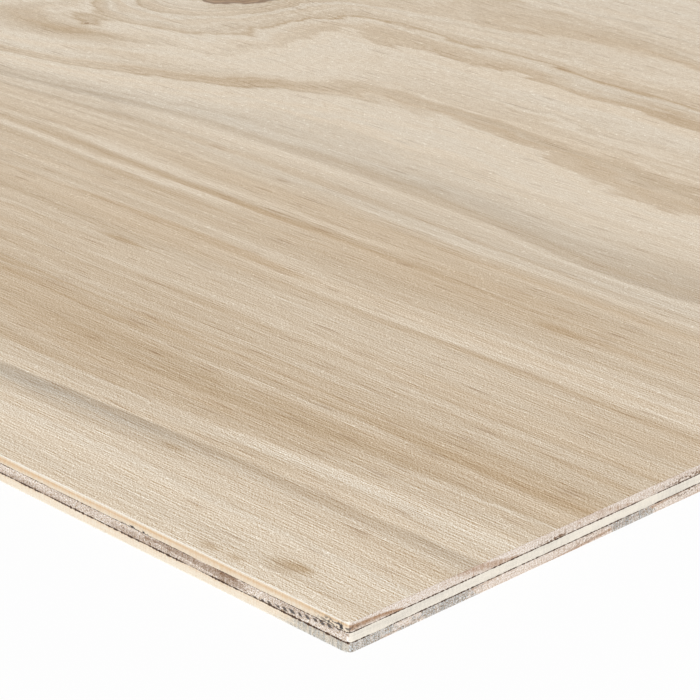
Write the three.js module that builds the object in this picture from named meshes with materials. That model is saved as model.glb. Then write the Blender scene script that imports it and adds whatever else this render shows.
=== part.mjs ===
// Three-ply sanded pine plywood sheet, 4 ft x 8 ft x 11/32 in, lying flat on its back.
//
// Millimetres, +Z up. X runs along the grain of the face and Y across it. The origin is the
// middle of the underside.
//
// The sheet is three rotary-cut veneers glued one on another, with the grain of the core square
// to the grain of the two outer veneers. They meet on flat planes, so the shape is all at the
// edges. The saw leaves the edges upright, the sander breaks the two outer arrises, the glue
// lines stand back as fine grooves, and handling rounds the corners, the lower down the more.

import * as THREE from 'three';

const INCH = 25.4;
const FOOT = 12 * INCH;

// The sheet, in its trade sizes.
const SHEET_LENGTH = 8 * FOOT;
const SHEET_WIDTH = 4 * FOOT;
const SHEET_THICKNESS = (11 / 32) * INCH;

// The lay-up. The face veneer takes what the other two leave of the thickness.
const BACK_THICKNESS = 2.8;
const CORE_THICKNESS = 2.98;
const FACE_THICKNESS = SHEET_THICKNESS - CORE_THICKNESS - BACK_THICKNESS;

// The edges: the radius that the sander leaves on an outer arris, and the groove that a veneer's
// edge has its half of along each glue line.
const ARRIS_RADIUS = 0.35;
const GROOVE_DEPTH = 0.16;
const GROOVE_HALF_WIDTH = 0.12;

// The corners, in plan, on the underside and on the face.
const BACK_CORNER_RADIUS = 1.9;
const FACE_CORNER_RADIUS = 0.8;

// How finely the round stretches are divided.
const CORNER_STEPS = 8;
const ARRIS_STEPS = 4;

const QUARTER_TURN = Math.PI / 2;

// An edge profile starts on a veneer's flat side and ends at the saw line. Each of its points
// says how far it stands back from the saw line, and how far in from the flat side it is.

function arrisProfile() {
  const profile = [];
  for (let step = 0; step <= ARRIS_STEPS; step += 1) {
    const angle = (step / ARRIS_STEPS) * QUARTER_TURN;
    profile.push({
      standBack: ARRIS_RADIUS * (1 - Math.sin(angle)),
      depth: ARRIS_RADIUS * (1 - Math.cos(angle)),
    });
  }
  return profile;
}

function grooveProfile() {
  return [
    { standBack: GROOVE_DEPTH, depth: 0 },
    { standBack: 0, depth: GROOVE_HALF_WIDTH },
  ];
}

// The corner radius of the sheet's plan at a height above the underside.
function cornerRadius(height) {
  return THREE.MathUtils.mapLinear(
    height,
    0,
    SHEET_THICKNESS,
    BACK_CORNER_RADIUS,
    FACE_CORNER_RADIUS,
  );
}

// The sheet's plan at a height, drawn in by standBack: a rectangle with round corners, as points
// that run anticlockwise seen from above. Every plan has the same number of points.
function planAt(height, standBack) {
  const radius = cornerRadius(height) - standBack;
  const centreX = SHEET_LENGTH / 2 - standBack - radius;
  const centreY = SHEET_WIDTH / 2 - standBack - radius;
  const quadrants = [
    [1, 1],
    [-1, 1],
    [-1, -1],
    [1, -1],
  ];
  return quadrants.flatMap(([sideX, sideY], quadrant) => {
    const start = quadrant * QUARTER_TURN;
    const corner = new THREE.EllipseCurve(
      sideX * centreX,
      sideY * centreY,
      radius,
      radius,
      start,
      start + QUARTER_TURN,
    );
    return corner.getPoints(CORNER_STEPS);
  });
}

// A closed solid through a stack of plans, from the lowest up, with a flat cap at each end.
function loft(plans) {
  const pointsPerPlan = plans[0].points.length;
  const positions = [];
  for (const { height, points } of plans) {
    for (const point of points) {
      positions.push(point.x, point.y, height);
    }
  }

  const indices = [];
  for (let level = 1; level < plans.length; level += 1) {
    const below = (level - 1) * pointsPerPlan;
    const above = level * pointsPerPlan;
    for (let i = 0; i < pointsPerPlan; i += 1) {
      const next = (i + 1) % pointsPerPlan;
      indices.push(below + i, below + next, above + next);
      indices.push(below + i, above + next, above + i);
    }
  }

  const topStart = (plans.length - 1) * pointsPerPlan;
  for (const [a, b, c] of THREE.ShapeUtils.triangulateShape(plans[0].points, [])) {
    indices.push(c, b, a);
  }
  for (const [a, b, c] of THREE.ShapeUtils.triangulateShape(plans.at(-1).points, [])) {
    indices.push(topStart + a, topStart + b, topStart + c);
  }

  const geometry = new THREE.BufferGeometry();
  geometry.setAttribute('position', new THREE.Float32BufferAttribute(positions, 3));
  geometry.setIndex(indices);
  return geometry;
}

// A veneer as thick as it is given, whose flat underside is at the height of bottom in the
// sheet. Its own z starts from that underside.
function veneerGeometry(bottom, thickness, lowerProfile, upperProfile) {
  const lowerEdge = lowerProfile.map(({ standBack, depth }) => ({
    standBack,
    height: depth,
  }));
  const upperEdge = upperProfile.toReversed().map(({ standBack, depth }) => ({
    standBack,
    height: thickness - depth,
  }));
  const plans = [...lowerEdge, ...upperEdge].map(({ standBack, height }) => ({
    height,
    points: planAt(bottom + height, standBack),
  }));
  return loft(plans);
}

function sandedPine() {
  return new THREE.MeshStandardMaterial({
    color: 0xdfcfb1,
    roughness: 0.72,
    metalness: 0,
    flatShading: true,
  });
}

function unsandedPine() {
  return new THREE.MeshStandardMaterial({
    color: 0xd9cab3,
    roughness: 0.85,
    metalness: 0,
    flatShading: true,
  });
}

function veneer(name, bottom, geometry, material) {
  const mesh = new THREE.Mesh(geometry, material);
  mesh.name = name;
  mesh.position.z = bottom;
  return mesh;
}

// The outer ply that rests on the ground: its underside has a sanded arris, its top a glue line.
function backVeneer() {
  const bottom = 0;
  const geometry = veneerGeometry(bottom, BACK_THICKNESS, arrisProfile(), grooveProfile());
  return veneer('back_veneer', bottom, geometry, sandedPine());
}

// The middle ply, with a glue line on each side. It was never sanded.
function coreVeneer() {
  const bottom = BACK_THICKNESS;
  const geometry = veneerGeometry(bottom, CORE_THICKNESS, grooveProfile(), grooveProfile());
  return veneer('core_veneer', bottom, geometry, unsandedPine());
}

// The outer ply that shows: a glue line below, and the sanded face and its arris on top.
function faceVeneer() {
  const bottom = BACK_THICKNESS + CORE_THICKNESS;
  const geometry = veneerGeometry(bottom, FACE_THICKNESS, grooveProfile(), arrisProfile());
  return veneer('face_veneer', bottom, geometry, sandedPine());
}

const plywoodSheet = new THREE.Group();
plywoodSheet.add(backVeneer(), coreVeneer(), faceVeneer());

export default plywoodSheet;
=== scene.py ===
"""Plywood sheet: the look of a sanded three-ply pine sheet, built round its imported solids.

Everything is in metres in the sheet's own frame: X along the grain of the face, Y across it,
Z up, origin at the middle of the underside. The patterns are worked out in millimetres, from
the sheet's near corner, the one at +X and -Y.
"""

import math
from collections import namedtuple

import bmesh
import bpy
from bpy.props import FloatProperty, FloatVectorProperty, IntProperty, PointerProperty
from mathutils import Color, Matrix, Vector, noise


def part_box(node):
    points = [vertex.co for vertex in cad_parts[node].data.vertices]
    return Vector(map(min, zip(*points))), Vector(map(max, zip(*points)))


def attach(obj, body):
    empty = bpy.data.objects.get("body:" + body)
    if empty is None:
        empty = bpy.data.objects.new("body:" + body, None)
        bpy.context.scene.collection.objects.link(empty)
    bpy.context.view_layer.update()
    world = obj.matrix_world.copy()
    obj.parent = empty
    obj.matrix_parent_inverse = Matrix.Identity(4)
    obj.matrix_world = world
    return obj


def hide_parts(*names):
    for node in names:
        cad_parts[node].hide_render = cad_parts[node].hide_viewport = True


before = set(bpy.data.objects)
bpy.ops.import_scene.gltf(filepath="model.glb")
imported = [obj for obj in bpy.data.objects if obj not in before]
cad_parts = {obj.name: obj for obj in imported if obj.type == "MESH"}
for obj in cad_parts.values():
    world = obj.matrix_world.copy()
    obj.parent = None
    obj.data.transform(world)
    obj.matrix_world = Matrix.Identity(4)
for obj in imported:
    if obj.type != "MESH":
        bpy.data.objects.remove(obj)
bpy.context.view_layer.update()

bl_info = {
    "name": "Plywood sheet",
    "version": (1, 0, 0),
    "blender": (4, 5, 0),
    "location": "3D View > Sidebar > Plywood",
    "description": "Veneers, grain, edges and studio of a three-ply pine sheet",
    "category": "Object",
}

MM = 0.001

SHEET_LOW = Vector((min(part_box(n)[0][i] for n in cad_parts) for i in range(3)))
SHEET_HIGH = Vector((max(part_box(n)[1][i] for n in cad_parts) for i in range(3)))
SHEET_SIZE = SHEET_HIGH - SHEET_LOW
LOWER_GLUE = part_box("core_veneer")[0].z
UPPER_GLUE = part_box("core_veneer")[1].z


# ---- Settings ----


def swatch(name, description, *seen):
    """A setting for a colour, with its default as seen on a screen, 0 to 255."""
    default = Color(part / 255 for part in seen).from_srgb_to_scene_linear()
    return FloatVectorProperty(name=name, description=description, subtype="COLOR", size=3,
                               min=0, max=1, default=default)


def measure(name, description, default, least, most):
    """A setting for a length, in metres."""
    return FloatProperty(name=name, description=description, subtype="DISTANCE", unit="LENGTH",
                         default=default, min=least, max=most)


class SheetSettings(bpy.types.PropertyGroup):
    """Sizes and colours of the veneers."""

    pale_wood: swatch("Earlywood", "Palest wood, between the growth rings", 223, 208, 187)
    dark_wood: swatch("Latewood", "Tan of the darkest growth rings", 188, 164, 133)
    blue_stain: swatch("Blue stain", "Grey-blue of stained sapwood", 164, 160, 152)
    resin: swatch("Resin", "Brown of the thin hairlines of resin", 146, 114, 82)
    knot_wood: swatch("Knot", "Red-brown of a knot's heart", 182, 154, 125)
    knot_bark: swatch("Bark", "Dark brown round a knot, and of resin on the ends", 130, 103, 80)
    glue: swatch("Glue", "Dark brown of the cured glue lines", 80, 57, 42)
    rot: swatch("Rot", "Blue-black of rotten spots and stained checks", 70, 66, 66)
    edge_cream: swatch("Long edge", "Pale wood on the edges along the grain", 249, 237, 218)
    edge_orange: swatch("Long edge ring", "Orange-tan of a ring on those edges", 227, 192, 150)
    # The arris colour is fresh sanded wood together with a painted highlight along the arris.
    arris_wear_and_highlight: swatch("Arris", "Fresh wood that the sander bares on an arris", 255, 248, 236)
    end_pale: swatch("End", "Pale wood on cut fibre ends", 235, 222, 210)
    end_brown: swatch("End ring", "Brown of a ring on cut fibre ends", 178, 142, 113)
    end_stain: swatch("End stain", "Blue-grey of stain on cut fibre ends", 164, 166, 164)
    core_pale: swatch("Core end", "Pale pink-grey of the core's fibre ends", 242, 229, 216)
    core_dark: swatch("Core end ring", "Grey-brown of a ring on those ends", 150, 122, 100)
    side_cream: swatch("Core side", "Cream of the core cut along its grain", 249, 241, 227)
    side_grey: swatch("Core side stain", "Cool grey-cream zones of that wood", 214, 208, 198)
    ring_turn: measure("Turn of the log", "Width of veneer over which the rings come round",
                       0.600, 0.3, 1.5)
    arris_radius: measure("Arris radius", "Radius that the sander leaves on an outer arris",
                          0.35 * MM, 0.05 * MM, 1.0 * MM)
    glue_groove: measure("Glue groove", "Depth of the groove along a glue line",
                         0.16 * MM, 0.0, 0.5 * MM)
    edge_rows: IntProperty(
        name="Edge rows", description="Rows of faces up the edge of one veneer",
        default=12, min=6, max=24)


class StudioSettings(bpy.types.PropertyGroup):
    """Floor, light and camera."""

    floor_size: measure("Floor", "Side of the square floor", 40.0, 5.0, 100.0)
    light_level: FloatProperty(
        name="Light", description="Strength of the soft box over the sheet",
        default=1.0, min=0.0)
    focal_length: FloatProperty(
        name="Lens", description="Focal length on a 36 mm sensor, in millimetres",
        unit="CAMERA", default=154.1, min=20.0)


# ---- Nodes ----

# A figure of noise: the size of its marks along, across and up, in millimetres, where in the
# noise it is read, so that no two look alike, and its weight. A flat one is read in plan.
Figure = namedtuple("Figure", "along across up offset weight detail roughness lacunarity flat",
                    defaults=(1.0, 0.0, 1.0, 2.0, 0.5, 2.0, False))

# How a figure's offset is shared out along, across and up.
OFFSET_SHARES = (1.0, 1.7, 0.6)

# A change from a first value to a last one, while another value goes from start to end.
Change = namedtuple("Change", "start end first last smooth", defaults=(0.0, 1.0, True))

# A Mix node's sockets for colours, by number, because others have the same names.
MIX_FACTOR, MIX_FIRST, MIX_SECOND, MIX_RESULT = 0, 6, 7, 2


class Wire:
    """What a node puts out, to be reckoned with like a number, a vector or a colour."""

    def __init__(self, socket):
        self.socket = socket
        self.tree = socket.id_data

    def __add__(self, other):
        return maths("ADD", self, other)

    __radd__ = __add__

    def __sub__(self, other):
        return maths("SUBTRACT", self, other)

    def __mul__(self, other):
        return maths("MULTIPLY", self, other)

    def __truediv__(self, other):
        return maths("DIVIDE", self, other)

    def __abs__(self):
        return maths("ABSOLUTE", self)

    def split(self):
        """Its X, Y and Z, or its red, green and blue."""
        node = add_node(self.tree, "ShaderNodeSeparateXYZ", {0: self})
        return [Wire(socket) for socket in node.outputs]


def feed(socket, value):
    """Give a socket a plain value or colour, or a link from a wire."""
    if isinstance(value, Wire):
        socket.id_data.links.new(value.socket, socket)
    elif socket.type == "RGBA":
        socket.default_value = (*value, 1.0)
    else:
        socket.default_value = value


def fill(sockets, values):
    """Feed sockets by name or number."""
    for key, value in values.items():
        feed(sockets[key], value)


def add_node(tree, kind, inputs=None, **settings):
    """A node with its settings and inputs."""
    node = tree.nodes.new(kind)
    for name, value in settings.items():
        setattr(node, name, value)
    fill(node.inputs, inputs or {})
    return node


def is_vector(value):
    """Whether a value is a vector or a colour, and not a number."""
    if isinstance(value, Wire):
        return value.socket.type != "VALUE"
    return isinstance(value, tuple)


def maths(operation, *values, clamp=False):
    """The result of a Math node, or of a Vector Math node where a value is a vector."""
    tree = next(value.tree for value in values if isinstance(value, Wire))
    inputs = dict(enumerate(values))
    if any(is_vector(value) for value in values):
        node = add_node(tree, "ShaderNodeVectorMath", inputs, operation=operation)
        gives_number = operation in {"LENGTH", "DOT_PRODUCT"}
        return Wire(node.outputs["Value" if gives_number else "Vector"])
    node = add_node(tree, "ShaderNodeMath", inputs, operation=operation, use_clamp=clamp)
    return Wire(node.outputs[0])


def join(along, across):
    """A position in plan."""
    return Wire(add_node(along.tree, "ShaderNodeCombineXYZ", {0: along, 1: across}).outputs[0])


def remap(value, change):
    """How far a change has come at a value."""
    node = add_node(value.tree, "ShaderNodeMapRange", {
        "Value": value, "From Min": change.start, "From Max": change.end,
        "To Min": change.first, "To Max": change.last,
    }, interpolation_type="SMOOTHSTEP" if change.smooth else "LINEAR")
    return Wire(node.outputs["Result"])


def mix(factor, first, second):
    """A mix of two colours, each of them plain or a wire."""
    node = add_node(factor.tree, "ShaderNodeMix", {
        MIX_FACTOR: factor, MIX_FIRST: first, MIX_SECOND: second,
    }, data_type="RGBA", clamp_factor=True)
    return Wire(node.outputs[MIX_RESULT])


def tinted(colour, amount, tint):
    """A colour brightened by an amount, which a tint shares out over red, green and blue."""
    return colour * (amount * tint + (1, 1, 1))


def noise_of(position, figure, seed=0.0):
    """A figure of noise at a position in millimetres, from 0 to 1."""
    offset = figure.offset + seed
    place = position * (1 / figure.along, 1 / figure.across, 1 / figure.up)
    place += tuple(offset * share for share in OFFSET_SHARES)
    node = add_node(position.tree, "ShaderNodeTexNoise", {
        "Vector": place, "Scale": 1.0, "Detail": figure.detail, "Roughness": figure.roughness,
        "Lacunarity": figure.lacunarity,
    }, noise_dimensions="2D" if figure.flat else "3D", normalize=True)
    return Wire(node.outputs["Fac"])


def centred(position, figure, seed=0.0):
    """A figure of noise round 0, with its weight."""
    return (noise_of(position, figure, seed) - 0.5) * figure.weight


def cells(position, figure):
    """A random value round 0 for each of many small, uneven cells."""
    place = position * (1 / figure.along, 1 / figure.across, 1)
    place += (figure.offset, figure.offset, 0)
    node = add_node(position.tree, "ShaderNodeTexVoronoi", {"Vector": place, "Scale": 1.0},
                    voronoi_dimensions="2D", feature="F1")
    return Wire(node.outputs["Color"]).split()[0] - 0.5


def make_group(name, vectors, numbers=()):
    """A new shader node group, as the wires from its inputs."""
    tree = bpy.data.node_groups.new(name, "ShaderNodeTree")
    for label in vectors:
        tree.interface.new_socket(label, in_out="INPUT", socket_type="NodeSocketVector")
    for label in numbers:
        tree.interface.new_socket(label, in_out="INPUT", socket_type="NodeSocketFloat")
    source = add_node(tree, "NodeGroupInput")
    return [Wire(source.outputs[label]) for label in (*vectors, *numbers)]


def put_out(tree, outputs):
    """End a shader node group with what it puts out, by name."""
    for label in outputs:
        tree.interface.new_socket(label, in_out="OUTPUT", socket_type="NodeSocketFloat")
    add_node(tree, "NodeGroupOutput", outputs)


def use_group(name, inputs):
    """The wires from a shared group, by name. Its first use makes the group."""
    if name not in bpy.data.node_groups:
        GROUP_MAKERS[name]()
    group = bpy.data.node_groups[name]
    node = add_node(inputs["Position"].tree, "ShaderNodeGroup", inputs, node_tree=group)
    return {socket.name: Wire(socket) for socket in node.outputs}


# ---- Shared effects ----

# Fine figures of sanded wood. The fibres and the fine grit are relief lit from one side, painted
# into the face's colour as shade and highlight, and the flecks are painted glints of raised fuzz.
STREAKS = Figure(150, 2.6, offset=7.7, weight=0.17, detail=3, flat=True)
FIBRES = Figure(13, 0.6, offset=12.3, detail=1, roughness=1, lacunarity=1.5, flat=True)
HAIRLINES = Figure(22, 0.7, offset=23.9, detail=0, flat=True)
GLINT_FLECKS = Figure(1.1, 2.2, offset=57.1, detail=0, flat=True)
GRIT = Figure(0.30, 0.36, offset=41.7)
COARSE_GRIT = Figure(1.5, 1.1, offset=44.4)
HAIRLINE_RISE = Change(0.74, 0.88)
GLINT_FLECK_RISE = Change(0.78, 0.85, 0, 0.27)

# The step across the grain, in millimetres, over which fine relief is lit.
RELIEF_STEP = 0.4

# Glue lines: their ragged rims and the places where they fade out.
GLUE_RIM = Figure(0.9, 0.9, 50, offset=5.3, roughness=0.75)
GLUE_FADE = Figure(17, 17, 50, offset=8.1, detail=1)
GLUE_RIM_WIDTH = Change(0.35, 0.65, 0.4, 1.7, smooth=False)
GLUE_FADE_WIDTH = Change(0.34, 0.48, 0.15, 1.0, smooth=False)
GLUE_FALL = Change(0.7, 1.3, 1, 0)

# Cut fibre ends.
SPECKLE = Figure(0.5, 0.5, 0.4, offset=2.9, detail=1, roughness=0.9)
RAYS = Figure(0.7, 0.7, 5, offset=15.1, detail=1)
PORES = Figure(0.9, 0.9, 0.8, offset=28.3, detail=0)
BLOTS = Figure(1.1, 1.1, 0.7, offset=31.9)
PORE_RISE = Change(0.72, 0.80, 0, 0.45)
BLOT_RISE = Change(0.50, 0.56)

# The fibres part at a knot and close again further along than across: how much a distance
# along and one across count.
KNOT_DRAWN_OUT = (0.45, 1, 0)


def swell_group():
    """The height of a soft round swelling at a position."""
    position, centre, reach, height = make_group(
        "Swell", ["Position", "Centre", "Reach"], ["Height"])
    away = (position - centre) / reach
    fall = maths("EXPONENT", maths("DOT_PRODUCT", away, away) * -0.5)
    put_out(position.tree, {"Height": fall * height})


def knot_group():
    """A knot: how many of its radii away a position is, and how the fibres bend round it."""
    position, centre, radius = make_group("Knot", ["Position", "Centre"], ["Radius"])
    away = (position - centre) / radius
    drawn = away * KNOT_DRAWN_OUT
    bend = away.split()[1] / (maths("DOT_PRODUCT", drawn, drawn) + 1.0)
    put_out(position.tree, {"Distance": maths("LENGTH", away), "Bend": bend * radius})


def side_lit(position, height_at, figure):
    """Fine relief lit from one side: how its height falls over a step across the grain. In a
    colour it is painted shade and highlight.
    """
    return height_at(position, figure) - height_at(position + (0, RELIEF_STEP, 0), figure)


def fibre_group():
    """Fine figure of sanded wood: long streaks, fibres, hairlines, two sizes of grit, flecks. The
    fibres and the fine grit are painted shade and highlight of relief lit from one side, and the
    flecks are painted glints.
    """
    [position] = make_group("Fibre", ["Position"])
    put_out(position.tree, {
        "Streaks": centred(position, STREAKS),
        "Fibres": side_lit(position, noise_of, FIBRES),
        "Hairlines": remap(noise_of(position, HAIRLINES), HAIRLINE_RISE),
        "Grit": side_lit(position, cells, GRIT),
        "Coarse Grit": cells(position, COARSE_GRIT),
        "Glint Flecks": remap(noise_of(position, GLINT_FLECKS), GLINT_FLECK_RISE)})


def glue_group():
    """The dark line where a veneer meets the glue, ragged, and faded out in places."""
    position, distance, half_width = make_group(
        "Glue Line", ["Position"], ["Distance", "Half Width"])
    rim = remap(noise_of(position, GLUE_RIM), GLUE_RIM_WIDTH)
    fade = remap(noise_of(position, GLUE_FADE), GLUE_FADE_WIDTH)
    line = remap(distance / (rim * fade * half_width), GLUE_FALL)
    put_out(position.tree, {"Line": line})


def end_grain_group():
    """Cut fibre ends: a fine speckle, rays that cross the veneer, pores, and dark blots."""
    [position] = make_group("End Grain", ["Position"])
    put_out(position.tree, {
        "Speckle": centred(position, SPECKLE),
        "Rays": centred(position, RAYS),
        "Pores": remap(noise_of(position, PORES), PORE_RISE),
        "Blots": remap(noise_of(position, BLOTS), BLOT_RISE)})


GROUP_MAKERS = {
    "Swell": swell_group, "Knot": knot_group, "Fibre": fibre_group, "Glue Line": glue_group,
    "End Grain": end_grain_group,
}


# ---- The wood of the outer veneers ----

# The growth rings in the order they are met in one turn of the log: the ring phase in
# millimetres across the face, how dark the wood is there, how blue-grey, and how dark its cut
# fibre ends are. A ring's sharp side is where two phases are close together.
RINGS = [
    # Pale wood that darkens slowly to a thin blue-grey ring.
    (0, 0.10, 0, 0), (10, 0.22, 0, 0.05), (22, 0.08, 0, 0), (32, 0.26, 0, 0.1),
    (38, 0.40, 0.1, 0.3), (41, 0.50, 0.3, 0.6), (46, 0.62, 0.9, 0.7), (49, 0.60, 0.9, 0.6),
    # Dense brown wood, where many narrow rings run together.
    (50, 0, 0, 0), (56, 0.18, 0, 0), (64, 0.30, 0, 0.05), (69, 0.54, 0, 0.1),
    (76, 0.70, 0, 0.15), (84, 0.68, 0, 0.15), (97, 0.88, 0, 0.42), (100, 0.62, 0, 0.1),
    (112, 0.62, 0, 0.1), (122, 0.52, 0, 0.1), (130, 0.76, 0, 0.35), (133, 0.60, 0, 0.1),
    (146, 0.50, 0, 0.1), (151, 0.70, 0, 0.25), (170, 0.50, 0, 0.1), (192, 0.60, 0, 0.15),
    (206, 0.46, 0, 0.1), (212, 0.58, 0, 0.2), (220, 0.40, 0, 0.1),
    # Two rings with blue stain between them.
    (229, 0.48, 0.5, 0.1), (239, 0.16, 0.2, 0), (242, 0.10, 0.2, 0), (244, 0.46, 0.6, 0.5),
    (249, 0.48, 0.4, 0.3), (258, 0.30, 0.3, 0.1), (280, 0.02, 0, 0),
    # Wide rings of pale wood, each with a sharp side and a tan that fades out behind it.
    (304, 0.06, 0, 0), (306, 0.72, 0, 0.8), (318, 0.63, 0, 0.5), (330, 0.43, 0, 0.3),
    (342, 0.18, 0, 0.1), (352, 0.10, 0, 0.1), (372, 0.04, 0, 0), (374, 0.67, 0, 0.8),
    (381, 0.41, 0, 0.4), (391, 0.10, 0, 0), (393, 0.74, 0, 0.85), (402, 0.43, 0, 0.4),
    (416, 0.28, 0, 0.2), (431, 0.08, 0.1, 0), (433, 0.77, 0.1, 0.9), (444, 0.56, 0.1, 0.5),
    (456, 0.30, 0.1, 0.2), (480, 0.06, 0.15, 0), (511, 0.04, 0.15, 0), (513, 0.48, 0.15, 1),
    (519, 0.50, 0.1, 0.7), (521, 0.50, 0.1, 0.1),
    # Even wood up to the ring that closes the turn.
    (562, 0.40, 0, 0.1), (581, 0.12, 0, 0.2), (585, 0.24, 0, 0.9), (593, 0.78, 0, 1),
    (596, 0.10, 0, 0.1),
]

# A colour ramp takes 32 stops: the first of two ramps has this many and the second the rest.
RAMP_STOPS = 30

# How the rings stray, in millimetres of ring phase: not near the corner, and in lobes where
# the wide rings are.
WANDER = Figure(900, 260, offset=1.3, weight=620)
RIPPLE = Figure(190, 13, offset=9.3, weight=12)
LOBES = Figure(44, 12, offset=27.3, weight=28, detail=3)
RAGGED = Figure(40, 1.8, offset=19.3, weight=6)
WANDER_WITH_DISTANCE = Change(550, 1100)
LOBES_WITH_PLACE = Change(225, 300, 0.15, 1.0)

# What sets the two outer veneers apart, in millimetres from the near corner. The ring slope is
# how far a ring moves across the veneer for its depth. A flat changes that slope, a swell lifts
# the ring phase, and a mark darkens the wood: each has a centre and a reach in plan, and a
# height. A knot has a centre and a radius. A stain, resin on an end and a rotten spot have a
# centre and a reach in three axes, and the last two a height. The glue line has its height in
# metres, and its half widths on the long edges and on the ends.
Lay = namedtuple("Lay", "underside first_phase ring_slope seed flats swells knots marks stains "
                        "resin_ends rot_spots end_contrast glue_line")

FACE = Lay(
    underside=False,
    first_phase=0.0,
    ring_slope=6.0,
    seed=0.0,
    flats=[(0, 12, 60, 7, 1.1)],
    swells=[
        (386, 312, 32, 27, 52), (478, 271, 60, 29, 105), (524, 416, 97, 12, 90),
        (200, 48, 60, 18, 10), (160, 66, 60, 8, 6), (115, 238, 45, 10, 8),
        (150, 300, 40, 12, 7), (257, 312, 40, 20, -9),
        (1330, 230, 150, 60, 150), (1960, 470, 190, 70, -170),
    ],
    knots=[
        (448, 374, 21), (453, 295, 0.9), (1085, 156, 12), (1062, 505, 16),
        (1716, 322, 14), (1690, 96, 7), (2272, 431, 18), (2306, 120, 11),
    ],
    marks=[
        # Short dark dashes where resin has bled.
        (34.5, 11.3, 4.0, 2.6, 0.65), (30, 12.6, 2.6, 1.2, 0.75), (57, 4.1, 3.0, 1.2, 0.75),
        (47, 4.2, 2.4, 1.0, 0.75), (111, 39, 4.0, 1.0, 0.75), (141, 79.5, 5.0, 0.9, 0.6),
        (249, 138.6, 7.0, 1.1, 0.75), (94, 186, 6.0, 1.2, 0.75),
        # Long soft streaks by the near end.
        (20, 68, 35, 5, -0.3), (20, 84, 30, 4, -0.25), (25, 140, 35, 4, 0.25),
        (25, 167, 45, 8, -0.25), (80, 169, 70, 6, -0.3), (150, 52, 80, 5, 0.3),
        (160, 107, 80, 6, 0.25),
        # Paler wood between the wide rings, and one tan zone.
        (350, 314, 60, 14, -0.3), (440, 302, 45, 10, -0.3), (300, 242, 50, 7, -0.25),
        (430, 256, 60, 10, -0.3), (200, 304, 50, 9, -0.3), (452, 284, 30, 8, 0.6),
    ],
    stains=[((1500, 380, 1.5), (160, 7, 4)), ((900, 560, 1.5), (120, 5, 4))],
    resin_ends=[((0, 79, 2.5), (9, 5, 0.7), 1.1), ((0, 136, 2.3), (9, 9, 0.8), 1.1)],
    rot_spots=[((4.5, 0, 2.0), (4.2, 3, 0.75), 1.25), ((82.5, 0, 2.78), (2.6, 3, 0.25), 3)],
    end_contrast=1.0,
    glue_line=(UPPER_GLUE, 0.09, 0.17),
)
BACK = Lay(
    underside=True,
    first_phase=508.0,
    ring_slope=18.0,
    seed=40.0,
    flats=[],
    swells=[
        (330, 210, 120, 50, 120), (860, 470, 160, 60, -150),
        (1500, 120, 110, 40, 90), (2010, 380, 170, 60, 160),
    ],
    knots=[
        (210, 330, 17), (236, 92, 10), (790, 240, 20), (812, 520, 12),
        (1420, 150, 15), (1388, 455, 23), (2085, 300, 13), (2118, 72, 18),
    ],
    marks=[],
    stains=[
        ((0, 3, 1.5), (22, 11, 4)), ((0, 37, 1.5), (160, 9, 4)),
        ((0, 111, 1.5), (120, 8, 4)), ((1700, 240, 1.5), (300, 16, 4)),
    ],
    resin_ends=[((0, 92, 1.4), (9, 8, 1.6), 0.4), ((0, 134, 2.0), (9, 5, 0.8), 0.8)],
    rot_spots=[],
    end_contrast=0.65,
    glue_line=(LOWER_GLUE, 0.25, 0.15),
)

# Knots go through the log in whorls, so each turn shows them again: how far on across the
# veneer and how far along, in millimetres.
KNOT_TURN = 594.0
KNOT_CREEP = 16.0

# How a knot swells the rings: where the swell lies from it along and across, how far it
# reaches, and its height, all in radii of the knot.
KNOT_SWELL = (0.33, -0.43, 1.43, 1.67, 7.1)

# A reach in depth that takes in the whole thickness.
ALL_DEPTHS = 1000

# Patches: the ragged rim of blue stain, and how a patch rises at its rim.
STAIN_RIM = Figure(60, 3.2, 2.4, offset=47.3, weight=1.2, detail=3, roughness=0.6)
PATCH_RISE = Change(0.42, 0.66)


def coordinate(tree, kind):
    """A texture coordinate of a kind."""
    return Wire(add_node(tree, "ShaderNodeTexCoord").outputs[kind])


def corner_position(tree, underside=False):
    """The position in millimetres from the sheet's near corner: along, across, and depth."""
    inwards = 1 if underside else -1
    surface = 0 if underside else SHEET_HIGH.z
    place = coordinate(tree, "Object") * (-1 / MM, 1 / MM, inwards / MM)
    return place + (SHEET_HIGH.x / MM, -SHEET_LOW.y / MM, surface / MM)


def in_plan(places):
    """Swells given in plan, as swells in three axes."""
    return [((along, across, 0), (reach_along, reach_across, ALL_DEPTHS), height)
            for along, across, reach_along, reach_across, height in places]


def swell_sum(position, swells):
    """The height of some swells together, each with a centre, a reach and a height."""
    return sum(use_group("Swell", {
        "Position": position, "Centre": centre, "Reach": reach, "Height": height,
    })["Height"] for centre, reach, height in swells)


def patches(position, places, rim):
    """Patches with a ragged rim, 1 inside, at places that each have a centre and a reach."""
    inside = swell_sum(position, [(*place, 1.0) for place in places])
    return remap(inside + centred(position, rim), PATCH_RISE)


def ring_ramp(fraction, stops, turn):
    """A colour ramp over stops of RINGS: dark in its red, grey in its green, ends in its blue."""
    ramp = add_node(fraction.tree, "ShaderNodeValToRGB", {"Fac": fraction})
    elements = ramp.color_ramp.elements
    elements.remove(elements[-1])
    for number, (phase, *tones) in enumerate(stops):
        element = elements[0] if number == 0 else elements.new(phase / turn)
        element.position = phase / turn
        element.color = (*tones, 1)
    return Wire(ramp.outputs["Color"])


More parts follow.
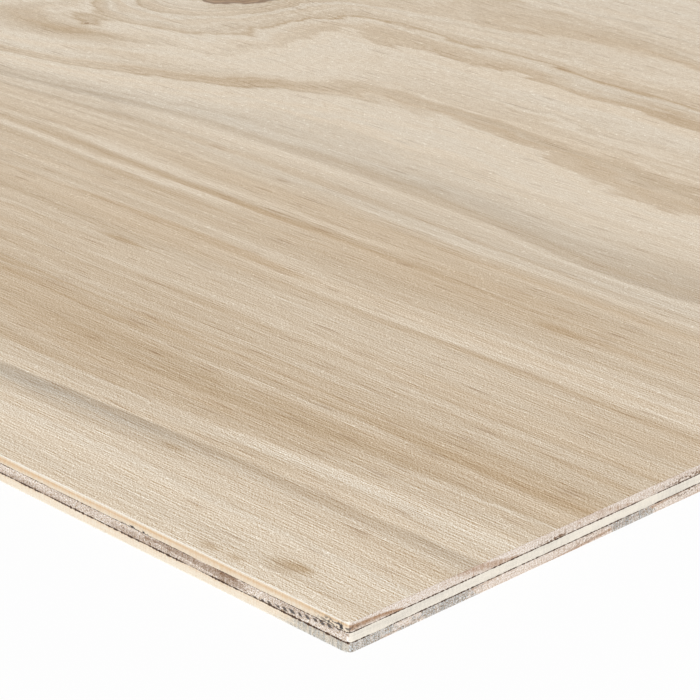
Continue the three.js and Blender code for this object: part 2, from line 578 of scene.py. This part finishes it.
def ring_tone(phase, turn):
    """How dark, how grey and how dark on cut ends the rings make the wood, each 0 to 1."""
    fraction = maths("FRACT", phase / turn)
    early = ring_ramp(fraction, RINGS[:RAMP_STOPS], turn)
    late = ring_ramp(fraction, RINGS[RAMP_STOPS - 1:], turn)
    is_late = maths("GREATER_THAN", fraction, RINGS[RAMP_STOPS - 1][0] / turn)
    return mix(is_late, early, late).split()


def veneer_plane(position, lay):
    """The place in plan where the ring met at a position comes to the veneer's surface."""
    along, across, depth = position.split()
    flatter = swell_sum(position, in_plan(lay.flats)) + 1.0
    return join(along, across + depth * flatter * -lay.ring_slope)


def turned(flat):
    """A place in plan, from where its turn of the log starts. The knots are placed so."""
    turn = maths("FLOOR", flat.split()[1] / KNOT_TURN)
    return flat - join(turn * KNOT_CREEP, turn * KNOT_TURN)


def ring_phase(flat, lay):
    """The phase of the growth rings: across the veneer, swollen at knots, and wandering."""
    swells = list(lay.swells)
    for along, across, radius in lay.knots:
        off_along, off_across, *size = (share * radius for share in KNOT_SWELL)
        swells.append((along + off_along, across + off_across, *size))
    across = flat.split()[1]
    far = remap(maths("LENGTH", flat), WANDER_WITH_DISTANCE)
    restless = remap(across, LOBES_WITH_PLACE)
    phase = across + lay.first_phase
    phase += swell_sum(turned(flat), in_plan(swells))
    phase += centred(flat, WANDER, lay.seed) * far
    phase += centred(flat, RIPPLE, lay.seed)
    phase += centred(flat, LOBES, lay.seed) * restless
    return phase + centred(flat, RAGGED, lay.seed)


# ---- Sanded faces ----

# Broad figures of the face. The bands and streaks follow the rings.
SLOW_TONE = Figure(210, 34, offset=51.1, weight=1.2)
BANDS = Figure(420, 5.5, offset=3.1, detail=3)
BANDS_IN_PALE = 0.45
BANDS_IN_DENSE = 2.0
PALE_STREAKS = Figure(240, 7, offset=71.3)
PALE_STREAK_RISE = Change(0.05, 0.14, 0, 0.24)
KNOT_HALO = Change(1.0, 1.7, 0.25, 0)
GREY_WITH_SLOW_TONE = Change(-0.144, 0.12, 0.15, 0.55, smooth=False)
STAIN_STRENGTH = 0.5
HAIRLINES_WITH_TONE = Change(0, 1, 0.35, 0.7, smooth=False)

# Some streaks are pinker and some yellower: how far a hue goes into red, green and blue.
HUES = Figure(260, 8, offset=83.7, detail=3)
HUE_TINT = (0.08, 0, -0.10)

# How strongly fine figures shade the face, by distance from the near corner in millimetres:
# most near it, where the sander has torn the fibres. The fibres and the fine grit are painted
# shade and highlight of their relief, and the flecks are painted glints.
PAINTED_FIBRE_SHADE = Change(90, 420, -0.90, -0.34)
PAINTED_GRIT_SHADE = Change(90, 420, 0.51, 0.23)
LOOSE_GRIT = Change(160, 560, 0.0, 0.15)
PALER_FAR_OFF = Change(360, 600, -0.01, 0.04)

# How far the brightness of the fibres goes into red, green and blue.
FIBRE_TINT = (0.76, 1.0, 1.3)

# A knot, by distance in its radii: its own rings, the rim of its heart and the bark round it.
KNOT_OUTLINE = Figure(9, 9, offset=33.1, weight=0.5)
KNOT_GRAIN = Figure(3.5, 3.5, offset=66.6, detail=3)
KNOT_GRAIN_CONTRAST = 1.6
KNOT_RING_BEAT = 26
KNOT_RING_CONTRAST = 0.22
KNOT_TONE = 0.4
KNOT_HEART = Change(0.86, 1.0, 1, 0)
BARK_DISTANCE = 0.97
BARK_FALL = Change(0.02, 0.12, 0.85, 0)

# A finish: its specular level, how its roughness follows the relief, and its bump's strength
# and depth in metres.
Finish = namedtuple("Finish", "specular roughness bump depth")
SANDED = Finish(0.3, Change(-0.2, 0.2, 0.6, 0.75, smooth=False), 0.5, 0.06 * MM)
SAWN = Finish(0.3, Change(-0.2, 0.2, 0.65, 0.85, smooth=False), 0.6, 0.06 * MM)
ROUGH_SAWN = Finish(0.2, Change(-0.2, 0.2, 0.7, 0.9, smooth=False), 0.6, 0.1 * MM)


def knot_figure(local, knots):
    """How far the nearest knot is, in its radii, and how far the fibres bend aside."""
    figures = [use_group("Knot", {
        "Position": local, "Centre": (along, across, 0), "Radius": radius,
    }) for along, across, radius in knots]
    nearest = figures[0]["Distance"]
    for figure in figures[1:]:
        nearest = maths("MINIMUM", nearest, figure["Distance"])
    return nearest + centred(local, KNOT_OUTLINE), sum(figure["Bend"] for figure in figures)


def wood_tone(dark, slow, ringwise, fibre, seed):
    """How dark the wood is, from 0 for the palest to 1."""
    # Dense wood varies more than pale wood.
    liveliness = dark * BANDS_IN_DENSE + BANDS_IN_PALE
    tone = dark * (slow + 1.0) + centred(ringwise, BANDS, seed) * liveliness
    pale = remap(centred(ringwise, PALE_STREAKS, seed), PALE_STREAK_RISE)
    return tone + fibre["Streaks"] - pale


def fine_shade(flat, fibre):
    """How much brighter or darker the fine figures make the face: painted shade and highlight of
    the lit fibres and fine grit, painted glints of the flecks, coarse grit, and a paler tone far
    off.
    """
    away = maths("LENGTH", flat)
    shade = fibre["Fibres"] * remap(away, PAINTED_FIBRE_SHADE)
    shade += fibre["Grit"] * remap(away, PAINTED_GRIT_SHADE)
    shade += fibre["Coarse Grit"] * remap(away, LOOSE_GRIT)
    return shade + fibre["Glint Flecks"] + remap(away, PALER_FAR_OFF)


def knot_colour(colour, distance, local, settings):
    """The dark heart of a knot and the bark round it, laid over the wood."""
    grain = centred(local, KNOT_GRAIN)
    rings = maths("SINE", distance * KNOT_RING_BEAT + grain)
    tone = grain * KNOT_GRAIN_CONTRAST + KNOT_TONE + rings * KNOT_RING_CONTRAST
    heart = mix(tone, settings.knot_wood, settings.knot_bark)
    colour = mix(remap(distance, KNOT_HEART), colour, heart)
    bark = remap(abs(distance - BARK_DISTANCE), BARK_FALL)
    return mix(bark, colour, settings.knot_bark)


def broad_wood(tree, lay, settings):
    """The colour of a broad side of an outer veneer, and the relief of its fibres."""
    position = corner_position(tree, lay.underside)
    flat = veneer_plane(position, lay)
    along, across, _ = flat.split()
    local = turned(flat)
    distance, bend = knot_figure(local, lay.knots)
    fibre = use_group("Fibre", {"Position": join(along, across - bend)})
    phase = ring_phase(flat, lay)
    ringwise = join(along, phase)
    dark, grey, _ = ring_tone(phase, settings.ring_turn / MM)
    slow = centred(flat, SLOW_TONE, lay.seed)

    tone = wood_tone(dark, slow, ringwise, fibre, lay.seed)
    tone += remap(distance, KNOT_HALO)
    tone += swell_sum(flat, in_plan(lay.marks))
    colour = mix(tone, settings.pale_wood, settings.dark_wood)
    stain = patches(position, lay.stains, STAIN_RIM) * STAIN_STRENGTH
    stain = maths("MAXIMUM", grey * remap(slow, GREY_WITH_SLOW_TONE), stain)
    colour = mix(stain, colour, settings.blue_stain)
    hairlines = fibre["Hairlines"] * remap(tone, HAIRLINES_WITH_TONE)
    colour = mix(hairlines, colour, settings.resin)
    colour = tinted(colour, centred(ringwise, HUES, lay.seed), HUE_TINT)
    # Painted shade and highlight of the fine relief, and painted glints, laid into the colour.
    colour = tinted(colour, fine_shade(flat, fibre), FIBRE_TINT)
    return knot_colour(colour, distance, local, settings), fibre["Fibres"]


def new_material(name, slot_colour):
    """A material with only a Principled surface, its node tree and the surface's inputs."""
    material = bpy.data.materials.new(name)
    material.use_nodes = True
    material.diffuse_color = (*slot_colour, 1.0)
    tree = material.node_tree
    return material, tree, tree.nodes["Principled BSDF"].inputs


def veneer_material(name, slot_colour, finish, wood, *details):
    """A material with a finish. Its wood is a function that puts out a colour and a relief."""
    material, tree, surface = new_material(name, slot_colour)
    colour, relief = wood(tree, *details)
    bump = add_node(tree, "ShaderNodeBump", {
        "Height": relief, "Strength": finish.bump, "Distance": finish.depth})
    fill(surface, {
        "Base Color": colour, "Specular IOR Level": finish.specular,
        "Roughness": remap(relief, finish.roughness), "Normal": Wire(bump.outputs["Normal"])})
    return material


# ---- Sawn edges ----

# How the surface goes over from a long edge to an end, round a corner.
END_SHARE = Change(-0.15, 0.15, smooth=False)

# The edges along the grain: soft streaks and fine upright ticks, and fresh wood with a painted
# highlight along the arris.
EDGE_STREAKS = Figure(22, 22, 0.30, offset=71.3, weight=0.9, detail=3, roughness=0.6)
EDGE_TICKS = Figure(0.7, 0.7, 2.5, offset=77.7, weight=0.8, detail=1)
LONG_EDGE_CONTRAST = 1.2
ARRIS_WEAR_AND_HIGHLIGHT_DEPTH = Change(0.25, 0.5, 1, 0)

# The ends: how much rays, stain and speckle count for.
OUTER_RAYS = 0.7
STAIN_WITH_RAYS = Change(-0.15, 0.15, 0.35, 0.8, smooth=False)
SPECKLE_LONG = 0.4
SPECKLE_END = 1.5
SPECKLE_STAIN = 2.2

# The core: its glue lines, each a height and two half widths as above, and its brown zones on
# the long edge by the near corner, each a centre and a reach.
CORE_GLUE_LINES = [(LOWER_GLUE, 0.25, 0.15), (UPPER_GLUE, 0.11, 0.15)]
CORE_ZONES = [
    ((66, 0, 3.6), (12, 5, 0.8)), ((46, 0, 4.4), (6, 5, 1.2)), ((300, 0, 4.2), (40, 5, 0.9)),
]
CORE_ZONE_TONE = 0.55
CORE_ZONE_RIM = Figure(3.5, 3.5, 1.2, offset=16.6, weight=1.2)
CORE_SLOW = Figure(30, 30, 2.2, offset=6.6, detail=3)
CORE_END_TONE = Change(0.40, 0.66, 0.14, 0.55, smooth=False)
CORE_SIDE_TONE = Change(0.4, 0.7, 0.0, 0.5, smooth=False)
CORE_RAYS = 0.5
CORE_SPECKLE = 3.4

# The core's stained lathe checks, in millimetres. They lie on a line that climbs from one glue
# line to the other towards the near corner.
CHECK_SPACING = 2.8
CHECK_CLIMB = 0.098
CHECK_START = 6.2
CHECK_LEAN = 0.9
CHECK_UNEVEN = Figure(2.6, 50, 50, offset=36.1, detail=1)
CHECK_JITTER = 2.4
CHECK_HEIGHT = Change(0.35, 0.8, 1, 0)
CHECK_WIDTH = Change(0.18, 0.32, 1, 0)
CHECK_RUN = Change(35.0, 37.0, 1, 0, smooth=False)
CHECK_STRENGTH = Change(-0.15, 0.0, 0.5, 0.95, smooth=False)


def end_mask(tree):
    """1 where a sawn edge is one of the sheet's ends, and 0 on its long edges."""
    along, across, _ = abs(coordinate(tree, "Normal")).split()
    return remap(along - across, END_SHARE)


def height_in_sheet(tree):
    """The height above the underside of the sheet, in millimetres."""
    return coordinate(tree, "Object").split()[2] / MM


def glued(position, colour, lines, settings):
    """A colour with glue lines laid over it: each has its height and two half widths."""
    height = height_in_sheet(position.tree)
    end = end_mask(position.tree)
    for line_height, long_half, end_half in lines:
        line_mm = line_height / MM
        glue = use_group("Glue Line", {
            "Position": position + (line_mm, 0, 0),
            "Distance": abs(height - line_mm),
            "Half Width": remap(end, Change(0, 1, long_half, end_half, smooth=False))})
        colour = mix(glue["Line"], colour, settings.glue)
    return colour


def side_figure(position):
    """The figure of an edge cut along its grain: soft streaks and fine upright ticks."""
    return centred(position, EDGE_STREAKS) + centred(position, EDGE_TICKS)


def blotted(position, grain, colour, places, blot_colour):
    """A colour with dark blots in it round some places."""
    strength = maths("MULTIPLY", grain["Blots"], swell_sum(position, places), clamp=True)
    return mix(strength, colour, blot_colour)


def outer_edge_wood(tree, lay, settings):
    """The colour of the sawn edges of an outer veneer, and the relief of its fibre ends."""
    position = corner_position(tree, lay.underside)
    phase = ring_phase(veneer_plane(position, lay), lay)
    dark, _, dark_end = ring_tone(phase, settings.ring_turn / MM)
    grain = use_group("End Grain", {"Position": position})

    long_tone = dark * LONG_EDGE_CONTRAST + side_figure(position)
    long_colour = mix(long_tone, settings.edge_cream, settings.edge_orange)
    # Fresh wood and a painted highlight in a band along the arris at the broad side.
    arris = remap(position.split()[2], ARRIS_WEAR_AND_HIGHLIGHT_DEPTH)
    long_colour = mix(arris, long_colour, settings.arris_wear_and_highlight)
    end_tone = dark_end * lay.end_contrast + grain["Rays"] * OUTER_RAYS + grain["Pores"]
    end_colour = mix(end_tone, settings.end_pale, settings.end_brown)
    end = end_mask(tree)
    colour = mix(end, long_colour, end_colour)

    stain = patches(position, lay.stains, STAIN_RIM) * remap(grain["Rays"], STAIN_WITH_RAYS)
    colour = mix(stain, colour, settings.end_stain)
    colour = blotted(position, grain, colour, lay.resin_ends, settings.knot_bark)
    colour = blotted(position, grain, colour, lay.rot_spots, settings.rot)
    speckle = stain * SPECKLE_STAIN + end * SPECKLE_END + SPECKLE_LONG
    colour = tinted(colour, grain["Speckle"] * speckle, FIBRE_TINT)
    return glued(position, colour, [lay.glue_line], settings), grain["Speckle"]


def check_mask(position):
    """Where the stained lathe checks are, in the core's cut fibre ends."""
    along = position.split()[0]
    off = height_in_sheet(position.tree) - (along * -CHECK_CLIMB + CHECK_START)
    uneven = centred(position, CHECK_UNEVEN)
    near_line = remap(abs(off) + uneven, CHECK_HEIGHT)
    lean = along + off * -CHECK_LEAN + uneven * CHECK_JITTER
    beat = maths("FRACT", lean / CHECK_SPACING)
    tick = remap(abs(beat - 0.5), CHECK_WIDTH)
    return near_line * tick * remap(along, CHECK_RUN)


def core_wood(tree, settings):
    """The colour of the core's sawn edges, and the relief of its fibre ends.

    The core's grain runs across, so its fibre ends are on the long edges.
    """
    position = corner_position(tree)
    grain = use_group("End Grain", {"Position": position})
    slow = noise_of(position, CORE_SLOW)
    zones = patches(position, CORE_ZONES, CORE_ZONE_RIM)
    tone = remap(slow, CORE_END_TONE) + zones * CORE_ZONE_TONE
    tone += grain["Rays"] * CORE_RAYS + grain["Pores"]
    ends = mix(tone, settings.core_pale, settings.core_dark)
    checks = check_mask(position) * remap(grain["Speckle"], CHECK_STRENGTH)
    ends = mix(checks, ends, settings.rot)
    ends = tinted(ends, grain["Speckle"] * CORE_SPECKLE, FIBRE_TINT)
    side_tone = remap(slow, CORE_SIDE_TONE) + side_figure(position)
    side = mix(side_tone, settings.side_cream, settings.side_grey)
    colour = mix(end_mask(tree), ends, side)
    return glued(position, colour, CORE_GLUE_LINES, settings), grain["Speckle"]


# ---- Pieces ----

# The sides of the plan: the axis a side runs along, which side of the sheet it is on, how many
# columns it is cut into, and whether it is one of the two near sides.
PLAN_SIDES = [(0, -1, 1500, True), (1, 1, 1300, True), (0, 1, 700, False), (1, -1, 420, False)]

# The near sides have close columns this far from the near corner, and this share of all there.
CLOSE_STRETCH = 0.420
CLOSE_SHARE = 0.62

# The corner radii in plan: that of the blank, and those it is worn to at underside and face.
BLANK_CORNER = 1.9 * MM
BACK_CORNER = 1.9 * MM
FACE_CORNER = 0.8 * MM
CORNER_SEGMENTS = 8

# The width of the border of faces round the broad sides.
CAP_MARGIN = 1.3 * MM

# How much closer the rows of faces stand at a veneer's flat sides, 0 to 1.
ROWS_EASED = 0.65

# What sets the sawn edges back from the saw line.
SAW_ROUGHNESS = 0.035 * MM
SAW_MARK = 0.9 * MM
GLUE_HALF_WIDTH = 0.16 * MM

# How a glue groove's depth and an arris's radius change along the edges: mean and swing as
# shares of their setting, the length of a change, and where in the noise it is read.
Uneven = namedtuple("Uneven", "mean swing length seed")
GROOVE_DEPTHS = Uneven(0.9, 0.9, 6 * MM, 3.7)
GROOVE_LEAST = 0.2
ARRIS_RADII = Uneven(1.0, 0.35, 9 * MM, 8.1)

# What tells the long sides, the upright edges, the broad faces and the round corners.
LONG_SIDE = 0.5
UPRIGHT_RISE = 0.1 * MM
BROAD_NORMAL = 0.9
NO_LENGTH = 1e-7


def is_side(edge, axis, side):
    """Whether an edge of a flat plan is its straight side along an axis, on a given side."""
    start, end = (vert.co for vert in edge.verts)
    return abs(start[axis] - end[axis]) > LONG_SIDE and start[1 - axis] * side > 0


def cut_columns(bm, axis, side, columns, near):
    """Cut one side of a flat plan into columns, close together near the near corner."""
    edge = next(edge for edge in bm.edges if is_side(edge, axis, side))
    far_to_near = sorted(edge.verts, key=lambda vert: vert.co.x - vert.co.y)
    end, start = (vert.co.copy() for vert in far_to_near)
    cut = bmesh.ops.subdivide_edges(bm, edges=[edge], cuts=columns - 1)
    if not near:
        return
    length = (end - start).length
    for vert in {v for v in cut["geom_inner"] if isinstance(v, bmesh.types.BMVert)}:
        share = (vert.co - start).length / length
        if share < CLOSE_SHARE:
            place = share / CLOSE_SHARE * CLOSE_STRETCH
        else:
            rest = (share - CLOSE_SHARE) / (1 - CLOSE_SHARE)
            place = CLOSE_STRETCH + rest * (length - CLOSE_STRETCH)
        vert.co = start.lerp(end, place / length)


def veneer_blank(low, high, rows):
    """A flat plate with round corners, its upright edge cut into columns and rows."""
    bm = bmesh.new()
    bmesh.ops.create_grid(bm, x_segments=1, y_segments=1, size=0.5)
    bmesh.ops.scale(bm, vec=(high.x - low.x, high.y - low.y, 1), verts=bm.verts)
    bmesh.ops.translate(bm, vec=(0, 0, low.z), verts=bm.verts)
    bmesh.ops.bevel(bm, geom=bm.verts[:], affect="VERTICES", offset=BLANK_CORNER,
                    segments=CORNER_SEGMENTS, profile=0.5, material=-1)
    for axis, side, columns, near in PLAN_SIDES:
        cut_columns(bm, axis, side, columns, near)
    raised = bmesh.ops.extrude_face_region(bm, geom=bm.faces[:])["geom"]
    bmesh.ops.translate(bm, vec=(0, 0, high.z - low.z),
                        verts=[v for v in raised if isinstance(v, bmesh.types.BMVert)])
    upright = [e for e in bm.edges if abs(e.verts[0].co.z - e.verts[1].co.z) > UPRIGHT_RISE]
    bmesh.ops.subdivide_edges(bm, edges=upright, cuts=rows - 1, use_grid_fill=True)
    bmesh.ops.recalc_face_normals(bm, faces=bm.faces)
    return bm


def corner_at(height):
    """The radius of the sheet's corners in plan, at a height."""
    return BACK_CORNER + (FACE_CORNER - BACK_CORNER) * (height - SHEET_LOW.z) / SHEET_SIZE.z


def row_height(share, low, high):
    """Where a row goes, so that rows stand close at the flat sides of a veneer."""
    eased = 0.5 - 0.5 * math.cos(math.pi * share)
    return low + (high - low) * ((1 - ROWS_EASED) * share + ROWS_EASED * eased)


def arris_stand_back(depth, radius):
    """How far a round arris stands back at a depth below the flat side."""
    from_centre = max(radius - depth, 0.0)
    return radius - math.sqrt(radius ** 2 - from_centre ** 2)


def share_at(point, uneven, number=0):
    """The share of its setting that something uneven has at a point of the edges."""
    place = Vector((point.x / uneven.length, point.y / uneven.length, uneven.seed + number))
    return uneven.mean + uneven.swing * noise.noise(place)


def stand_back(point, glue_heights, arris_height, settings):
    """How far the sawn edge stands back from the saw line at a point of it."""
    back = SAW_ROUGHNESS * abs(noise.noise(point / SAW_MARK))
    for number, height in enumerate(glue_heights):
        near = 1 - abs(point.z - height) / GLUE_HALF_WIDTH
        if near > 0:
            share = max(share_at(point, GROOVE_DEPTHS, number), GROOVE_LEAST)
            back += settings.glue_groove * share * near
    if arris_height is not None:
        radius = settings.arris_radius * share_at(point, ARRIS_RADII)
        back += arris_stand_back(abs(point.z - arris_height), radius)
    return back


def worn_point(point, height, glue_heights, arris_height, settings):
    """Where a point of a blank's upright edge goes, at its height in the finished veneer."""
    reach_x = SHEET_SIZE.x / 2 - BLANK_CORNER
    reach_y = SHEET_SIZE.y / 2 - BLANK_CORNER
    foot = Vector((max(-reach_x, min(reach_x, point.x)), max(-reach_y, min(reach_y, point.y))))
    out = Vector((point.x, point.y)) - foot
    radius = BLANK_CORNER
    if abs(out.x) > NO_LENGTH and abs(out.y) > NO_LENGTH:
        radius = corner_at(height)
        foot = Vector((math.copysign(SHEET_SIZE.x / 2 - radius, foot.x),
                       math.copysign(SHEET_SIZE.y / 2 - radius, foot.y)))
    out.normalize()
    edge_point = Vector((*(foot + out * radius), height))
    back = stand_back(edge_point, glue_heights, arris_height, settings)
    return Vector((*(foot + out * (radius - back)), height))


def add_to_scene(name, data):
    """A new object in the scene that shows some data."""
    thing = bpy.data.objects.new(name, data)
    bpy.context.scene.collection.objects.link(thing)
    return thing


def veneer_piece(name, node, glue_heights, arris_height, materials, settings):
    """A veneer in the place of its frame node, with worn corners and a sawn edge.

    The first material is for the broad sides and the last for the edge.
    """
    low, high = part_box(node)
    bm = veneer_blank(low, high, settings.edge_rows)
    caps = [face for face in bm.faces if abs(face.normal.z) > BROAD_NORMAL]
    walls = [face for face in bm.faces if abs(face.normal.z) <= BROAD_NORMAL]
    wall_verts = {vert for face in walls for vert in face.verts}
    bmesh.ops.inset_region(bm, faces=caps, thickness=CAP_MARGIN, use_even_offset=True)
    for face in walls:
        face.smooth = True
        face.material_index = len(materials) - 1
    for vert in wall_verts:
        height = row_height((vert.co.z - low.z) / (high.z - low.z), low.z, high.z)
        vert.co = worn_point(vert.co, height, glue_heights, arris_height, settings)
    for edge in bm.edges:
        flat_faces = sum(1 for face in edge.link_faces if not face.smooth)
        edge.smooth = flat_faces != 1
    mesh = bpy.data.meshes.new(name)
    bm.to_mesh(mesh)
    bm.free()
    for material in materials:
        mesh.materials.append(material)
    return add_to_scene(name, mesh)


def outer_materials(side, lay, settings):
    """The materials of an outer veneer: one for its broad sides and one for its edges."""
    pale = settings.pale_wood
    return [veneer_material(f"Sanded {side}", pale, SANDED, broad_wood, lay, settings),
            veneer_material(f"{side} Edge", pale, SAWN, outer_edge_wood, lay, settings)]


class PLYWOOD_OT_face(bpy.types.Operator):
    """Make the sanded face veneer"""
    bl_idname = "plywood.face"
    bl_label = "Face veneer"

    def execute(self, context):
        settings = context.scene.plywood_sheet
        piece = veneer_piece("face_ply", "face_veneer", [UPPER_GLUE], SHEET_HIGH.z,
                             outer_materials("Face", FACE, settings), settings)
        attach(piece, "root")
        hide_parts("face_veneer")
        return {"FINISHED"}


class PLYWOOD_OT_core(bpy.types.Operator):
    """Make the core veneer"""
    bl_idname = "plywood.core"
    bl_label = "Core veneer"

    def execute(self, context):
        settings = context.scene.plywood_sheet
        wood = veneer_material("Core Edge", settings.core_pale, ROUGH_SAWN, core_wood, settings)
        piece = veneer_piece("core_ply", "core_veneer", [LOWER_GLUE, UPPER_GLUE], None, [wood],
                             settings)
        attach(piece, "root")
        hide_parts("core_veneer")
        return {"FINISHED"}


class PLYWOOD_OT_back(bpy.types.Operator):
    """Make the back veneer"""
    bl_idname = "plywood.back"
    bl_label = "Back veneer"

    def execute(self, context):
        settings = context.scene.plywood_sheet
        piece = veneer_piece("back_ply", "back_veneer", [LOWER_GLUE], SHEET_LOW.z,
                             outer_materials("Back", BACK, settings), settings)
        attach(piece, "root")
        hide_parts("back_veneer")
        return {"FINISHED"}


# ---- Studio ----

# The camera: its place from the sheet's near bottom corner, the way it looks, its roll, and
# how near and how far it sees, in metres.
CAMERA_FROM_CORNER = Vector((0.47513, -0.47784, 0.36509))
CAMERA_TURN = math.radians(44.91)
CAMERA_DIP = math.radians(22.656)
CAMERA_ROLL = math.radians(0.85)
CAMERA_CLIP = (0.01, 100.0)

WHITE = (1, 1, 1)

# The floor: its colour and roughness, and how much of what is seen of it is plain white.
FLOOR_COLOUR = (0.86, 0.86, 0.86)
FLOOR_ROUGHNESS = 0.9
FLOOR_SEEN_WHITE = 0.9
FLOOR_SEGMENTS = 8

# The background: its strength as light on the sheet, and where it is seen.
WORLD_STRENGTH = Change(0, 1, 0.49, 1.0, smooth=False)

# The soft box: its place, the point it is turned to, its side and its power in watts.
KEY_PLACE = Vector((3.5, -3.0, 4.5))
KEY_AIM = Vector((0.4, -0.2, 0))
KEY_SIZE = 4.0
KEY_POWER = 231


def add_camera(settings):
    """The scene's camera, which looks down at the near corner."""
    data = bpy.data.cameras.new("camera")
    data.sensor_fit = "HORIZONTAL"
    data.lens = settings.focal_length
    data.clip_start, data.clip_end = CAMERA_CLIP
    near_corner = Vector((SHEET_HIGH.x, SHEET_LOW.y, SHEET_LOW.z))
    place = Matrix.Translation(near_corner + CAMERA_FROM_CORNER)
    turn = Matrix.Rotation(CAMERA_TURN, 4, "Z")
    dip = Matrix.Rotation(math.radians(90) - CAMERA_DIP, 4, "X")
    roll = Matrix.Rotation(CAMERA_ROLL, 4, "Z")
    camera = add_to_scene("camera", data)
    camera.matrix_world = place @ turn @ dip @ roll
    bpy.context.scene.camera = camera


def seen_directly(tree):
    """1 for what is seen straight, in a reflection or through glass, and otherwise 0."""
    path = add_node(tree, "ShaderNodeLightPath").outputs
    seen = maths("MAXIMUM", Wire(path["Is Camera Ray"]), Wire(path["Is Glossy Ray"]))
    return maths("MAXIMUM", seen, Wire(path["Is Transmission Ray"]))


def floor_material():
    """A matt floor that is nearly white where it is seen, and keeps the sheet's shadow."""
    material, tree, surface = new_material("Pale Floor", FLOOR_COLOUR)
    fill(surface, {
        "Base Color": FLOOR_COLOUR, "Roughness": FLOOR_ROUGHNESS, "Specular IOR Level": 0.0})
    white = add_node(tree, "ShaderNodeEmission", {"Color": WHITE, "Strength": 1.0})
    mixed = add_node(tree, "ShaderNodeMixShader", {
        0: seen_directly(tree) * FLOOR_SEEN_WHITE,
        1: Wire(tree.nodes["Principled BSDF"].outputs[0]), 2: Wire(white.outputs[0])})
    feed(tree.nodes["Material Output"].inputs["Surface"], Wire(mixed.outputs[0]))
    return material


def add_floor(settings):
    """The floor that the sheet lies on."""
    bm = bmesh.new()
    bmesh.ops.create_grid(bm, x_segments=FLOOR_SEGMENTS, y_segments=FLOOR_SEGMENTS,
                          size=settings.floor_size / 2)
    mesh = bpy.data.meshes.new("floor")
    bm.to_mesh(mesh)
    bm.free()
    mesh.materials.append(floor_material())
    floor = add_to_scene("floor", mesh)


def add_world():
    """A background that is white where it is seen, and lights the sheet less than that."""
    world = bpy.data.worlds.new("studio")
    world.use_nodes = True
    tree = world.node_tree
    fill(tree.nodes["Background"].inputs, {
        "Color": WHITE, "Strength": remap(seen_directly(tree), WORLD_STRENGTH)})
    bpy.context.scene.world = world


def add_key(settings):
    """The soft box, a large square lamp on the near corner's side of the sheet."""
    data = bpy.data.lights.new("key", "AREA")
    data.shape = "SQUARE"
    data.size = KEY_SIZE
    data.energy = KEY_POWER * settings.light_level
    lamp = add_to_scene("key", data)
    lamp.location = KEY_PLACE
    lamp.rotation_euler = (KEY_AIM - KEY_PLACE).to_track_quat("-Z", "Y").to_euler()


class PLYWOOD_OT_studio(bpy.types.Operator):
    """Make the floor, the light and the camera"""
    bl_idname = "plywood.studio"
    bl_label = "Studio"

    def execute(self, context):
        settings = context.scene.plywood_studio
        add_camera(settings)
        add_floor(settings)
        add_world()
        add_key(settings)
        context.scene.view_settings.view_transform = "Standard"
        return {"FINISHED"}


class PLYWOOD_PT_panel(bpy.types.Panel):
    """A button for the studio and for each veneer"""
    bl_idname = "PLYWOOD_PT_panel"
    bl_label = "Plywood sheet"
    bl_space_type = "VIEW_3D"
    bl_region_type = "UI"
    bl_category = "Plywood"

    def draw(self, context):
        column = self.layout.column()
        for operator in OPERATORS:
            column.operator(operator.bl_idname)


OPERATORS = (PLYWOOD_OT_studio, PLYWOOD_OT_face, PLYWOOD_OT_core, PLYWOOD_OT_back)
CLASSES = (SheetSettings, StudioSettings, *OPERATORS, PLYWOOD_PT_panel)


def register():
    """Add the classes and their settings to Blender."""
    for cls in CLASSES:
        bpy.utils.register_class(cls)
    bpy.types.Scene.plywood_sheet = PointerProperty(type=SheetSettings)
    bpy.types.Scene.plywood_studio = PointerProperty(type=StudioSettings)


def unregister():
    """Take the settings and the classes out of Blender again."""
    del bpy.types.Scene.plywood_studio
    del bpy.types.Scene.plywood_sheet
    for cls in reversed(CLASSES):
        bpy.utils.unregister_class(cls)


def main():
    """Build the studio and the three veneers."""
    register()
    bpy.ops.plywood.studio()
    bpy.ops.plywood.face()
    bpy.ops.plywood.core()
    bpy.ops.plywood.back()


if __name__ == "__main__":
    main()
